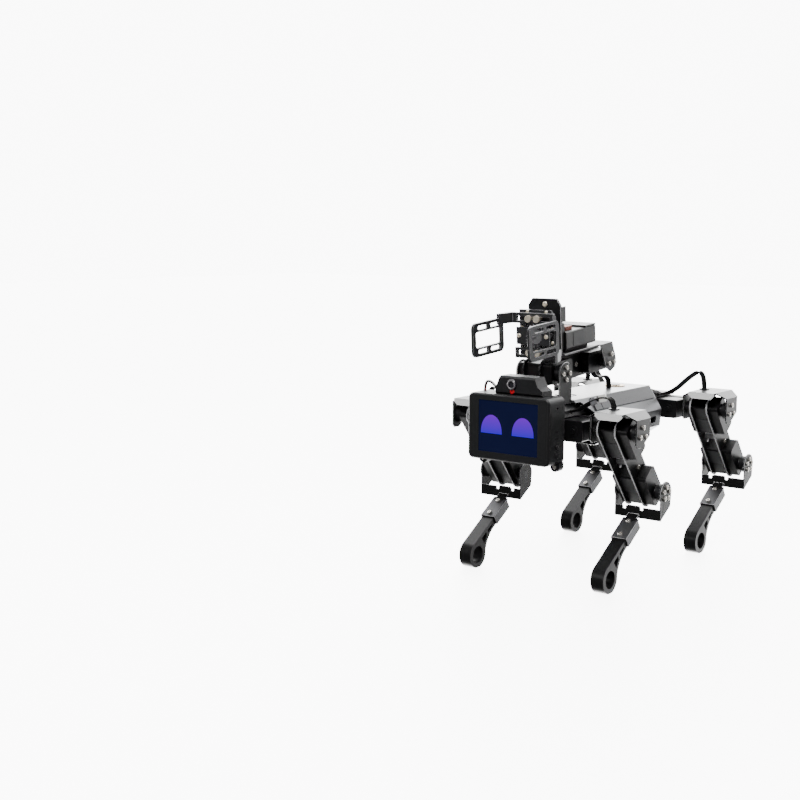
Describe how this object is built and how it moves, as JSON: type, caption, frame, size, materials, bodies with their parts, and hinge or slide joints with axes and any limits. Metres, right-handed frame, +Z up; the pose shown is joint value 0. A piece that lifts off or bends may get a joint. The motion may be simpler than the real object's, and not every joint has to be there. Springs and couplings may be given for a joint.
{
  "type": "quadruped robot dog",
  "caption": "Desktop four-legged robot with servo-driven legs, a screen face with a camera, and a folded two-link arm with a rack gripper on its back.",
  "frame": {"origin": "on the floor under the centre of the overall box, feet resting at z = 0", "axes": "+X forward, towards the screen; +Y to the robot's left; +Z up"},
  "size_m": [0.2154, 0.1324, 0.171],
  "materials": {
    "black_bracket": "black anodised sheet, satin",
    "frame_black": "black, satin",
    "horn": "black, satin",
    "servo_plastic": "black, satin",
    "channel_metal": "dark brushed",
    "foot_plastic": "black, satin",
    "shell_silver": "silver anodised, satin",
    "panel_grey": "dark grey, satin",
    "battery_wrap": "shrink wrap",
    "board": "circuit board",
    "screw_steel": "nickel plated",
    "screw_cream": "cream plated",
    "head_plastic": "black, fine texture",
    "screen_glass": "deep blue display under a glossy cover",
    "lens_glass": "glossy",
    "button_black": "satin",
    "ring_brass": "satin",
    "gunmetal": "gunmetal, brushed",
    "cable": "satin insulation"
  },
  "bodies": {
    "body": {"arm_base_bracket": "black_bracket", "arm_base_horns": "horn", "battery": "battery_wrap", "body_screws": "screw_steel", "body_shell": "shell_silver", "bottom_cover": "frame_black", "button_ring": "ring_brass", "camera_cable": "cable", "camera_cover": "head_plastic", "camera_lens": "lens_glass", "control_board": "board", "front_frame": "frame_black", "head_housing": "head_plastic", "hip_servos": "servo_plastic", "rear_frame": "frame_black", "screen": "screen_glass", "servo_cables": "cable", "side_panels": "panel_grey"},
    "front_left_hip": {"front_left_hip_bracket": "black_bracket", "front_left_hip_horns": "horn"},
    "front_left_thigh": {"front_left_thigh_plates": "black_bracket", "front_left_thigh_servos": "servo_plastic"},
    "front_left_shank": {"front_left_shank_bracket": "channel_metal", "front_left_knee_horns": "horn", "front_left_foot": "foot_plastic"},
    "front_right_hip": {"front_right_hip_bracket": "black_bracket", "front_right_hip_horns": "horn"},
    "front_right_thigh": {"front_right_thigh_plates": "black_bracket", "front_right_thigh_servos": "servo_plastic"},
    "front_right_shank": {"front_right_shank_bracket": "channel_metal", "front_right_knee_horns": "horn", "front_right_foot": "foot_plastic"},
    "rear_left_hip": {"rear_left_hip_bracket": "black_bracket", "rear_left_hip_horns": "horn"},
    "rear_left_thigh": {"rear_left_thigh_plates": "black_bracket", "rear_left_thigh_servos": "servo_plastic"},
    "rear_left_shank": {"rear_left_shank_bracket": "channel_metal", "rear_left_knee_horns": "horn", "rear_left_foot": "foot_plastic"},
    "rear_right_hip": {"rear_right_hip_bracket": "black_bracket", "rear_right_hip_horns": "horn"},
    "rear_right_thigh": {"rear_right_thigh_plates": "black_bracket", "rear_right_thigh_servos": "servo_plastic"},
    "rear_right_shank": {"rear_right_shank_bracket": "channel_metal", "rear_right_knee_horns": "horn", "rear_right_foot": "foot_plastic"},
    "upper_arm": {"upper_arm_plates": "black_bracket", "upper_arm_servos": "servo_plastic"},
    "forearm": {"elbow_bracket": "black_bracket", "elbow_horns": "horn", "gripper_servo": "servo_plastic", "gripper_frame": "black_bracket", "gripper_plate": "gunmetal", "gripper_guide_screws": "screw_cream"},
    "pinion": {"gripper_pinion": "gunmetal"},
    "right_finger": {"right_finger": "gunmetal"},
    "left_finger": {"left_finger": "gunmetal"},
    "power_button": {"power_button": "button_black"},
    "head_key_lower": {"head_key_lower": "head_plastic"},
    "head_key_upper": {"head_key_upper": "head_plastic"}
  },
  "joints": [
    {"name": "front_left_roll", "type": "hinge", "parent": "body", "child": "front_left_hip", "pos_m": [0.04591, 0.025, 0.094], "axis": [1, 0, 0], "range_deg": [-31, 31], "deforming": ["servo_cables"]},
    {"name": "front_left_pitch", "type": "hinge", "parent": "front_left_hip", "child": "front_left_thigh", "pos_m": [0.05591, 0.047, 0.095], "axis": [0, 1, 0], "range_deg": [-66, 54]},
    {"name": "front_left_knee", "type": "hinge", "parent": "front_left_thigh", "child": "front_left_shank", "pos_m": [0.02391, 0.047, 0.055], "axis": [0, 1, 0], "range_deg": [-71, 57]},
    {"name": "front_right_roll", "type": "hinge", "parent": "body", "child": "front_right_hip", "pos_m": [0.04591, -0.025, 0.094], "axis": [1, 0, 0], "range_deg": [-31, 31], "deforming": ["servo_cables"]},
    {"name": "front_right_pitch", "type": "hinge", "parent": "front_right_hip", "child": "front_right_thigh", "pos_m": [0.05591, -0.047, 0.095], "axis": [0, 1, 0], "range_deg": [-66, 54]},
    {"name": "front_right_knee", "type": "hinge", "parent": "front_right_thigh", "child": "front_right_shank", "pos_m": [0.02391, -0.047, 0.055], "axis": [0, 1, 0], "range_deg": [-71, 57]},
    {"name": "rear_left_roll", "type": "hinge", "parent": "body", "child": "rear_left_hip", "pos_m": [-0.07609, 0.025, 0.094], "axis": [1, 0, 0], "range_deg": [-31, 31], "deforming": ["servo_cables"]},
    {"name": "rear_left_pitch", "type": "hinge", "parent": "rear_left_hip", "child": "rear_left_thigh", "pos_m": [-0.06609, 0.047, 0.095], "axis": [0, 1, 0], "range_deg": [-45, 54]},
    {"name": "rear_left_knee", "type": "hinge", "parent": "rear_left_thigh", "child": "rear_left_shank", "pos_m": [-0.09809, 0.047, 0.055], "axis": [0, 1, 0], "range_deg": [-71, 57]},
    {"name": "rear_right_roll", "type": "hinge", "parent": "body", "child": "rear_right_hip", "pos_m": [-0.07609, -0.025, 0.094], "axis": [1, 0, 0], "range_deg": [-31, 31], "deforming": ["servo_cables"]},
    {"name": "rear_right_pitch", "type": "hinge", "parent": "rear_right_hip", "child": "rear_right_thigh", "pos_m": [-0.06609, -0.047, 0.095], "axis": [0, 1, 0], "range_deg": [-45, 54]},
    {"name": "rear_right_knee", "type": "hinge", "parent": "rear_right_thigh", "child": "rear_right_shank", "pos_m": [-0.09809, -0.047, 0.055], "axis": [0, 1, 0], "range_deg": [-71, 57]},
    {"name": "shoulder", "type": "hinge", "parent": "body", "child": "upper_arm", "pos_m": [0.05871, -0.003, 0.1265], "axis": [0, 1, 0], "range_deg": [-10, 6], "deforming": ["servo_cables"]},
    {"name": "elbow", "type": "hinge", "parent": "upper_arm", "child": "forearm", "pos_m": [0.00427, -0.003, 0.13069], "axis": [0, 1, 0], "range_deg": [-135, 0]},
    {"name": "gripper_pinion_spin", "type": "hinge", "parent": "forearm", "child": "pinion", "pos_m": [0.06892, 0, 0.14917], "axis": [0.9969, 0, -0.0785], "range_deg": [-65, 65]},
    {"name": "right_finger_slide", "type": "slide", "parent": "forearm", "child": "right_finger", "axis": [0, -1, 0], "range_m": [-0.0072, 0.0072]},
    {"name": "left_finger_slide", "type": "slide", "parent": "forearm", "child": "left_finger", "axis": [0, 1, 0], "range_m": [-0.0073, 0.0073]},
    {"name": "power_button_press", "type": "slide", "parent": "body", "child": "power_button", "axis": [0, 0, -1], "range_m": [0, 0.0005], "stiffness_N_per_m": 200, "springref_m": -0.0005},
    {"name": "head_key_lower_press", "type": "slide", "parent": "body", "child": "head_key_lower", "axis": [0, -1, 0], "range_m": [0, 0.0005], "stiffness_N_per_m": 100, "springref_m": -0.0005},
    {"name": "head_key_upper_press", "type": "slide", "parent": "body", "child": "head_key_upper", "axis": [0, -1, 0], "range_m": [0, 0.0005], "stiffness_N_per_m": 100, "springref_m": -0.0005}
  ],
  "couplings": [
    {"joint": "gripper_pinion_spin", "follows": "right_finger_slide", "rad_per_m": 156.25},
    {"joint": "left_finger_slide", "follows": "right_finger_slide", "ratio": 1}
  ]
}
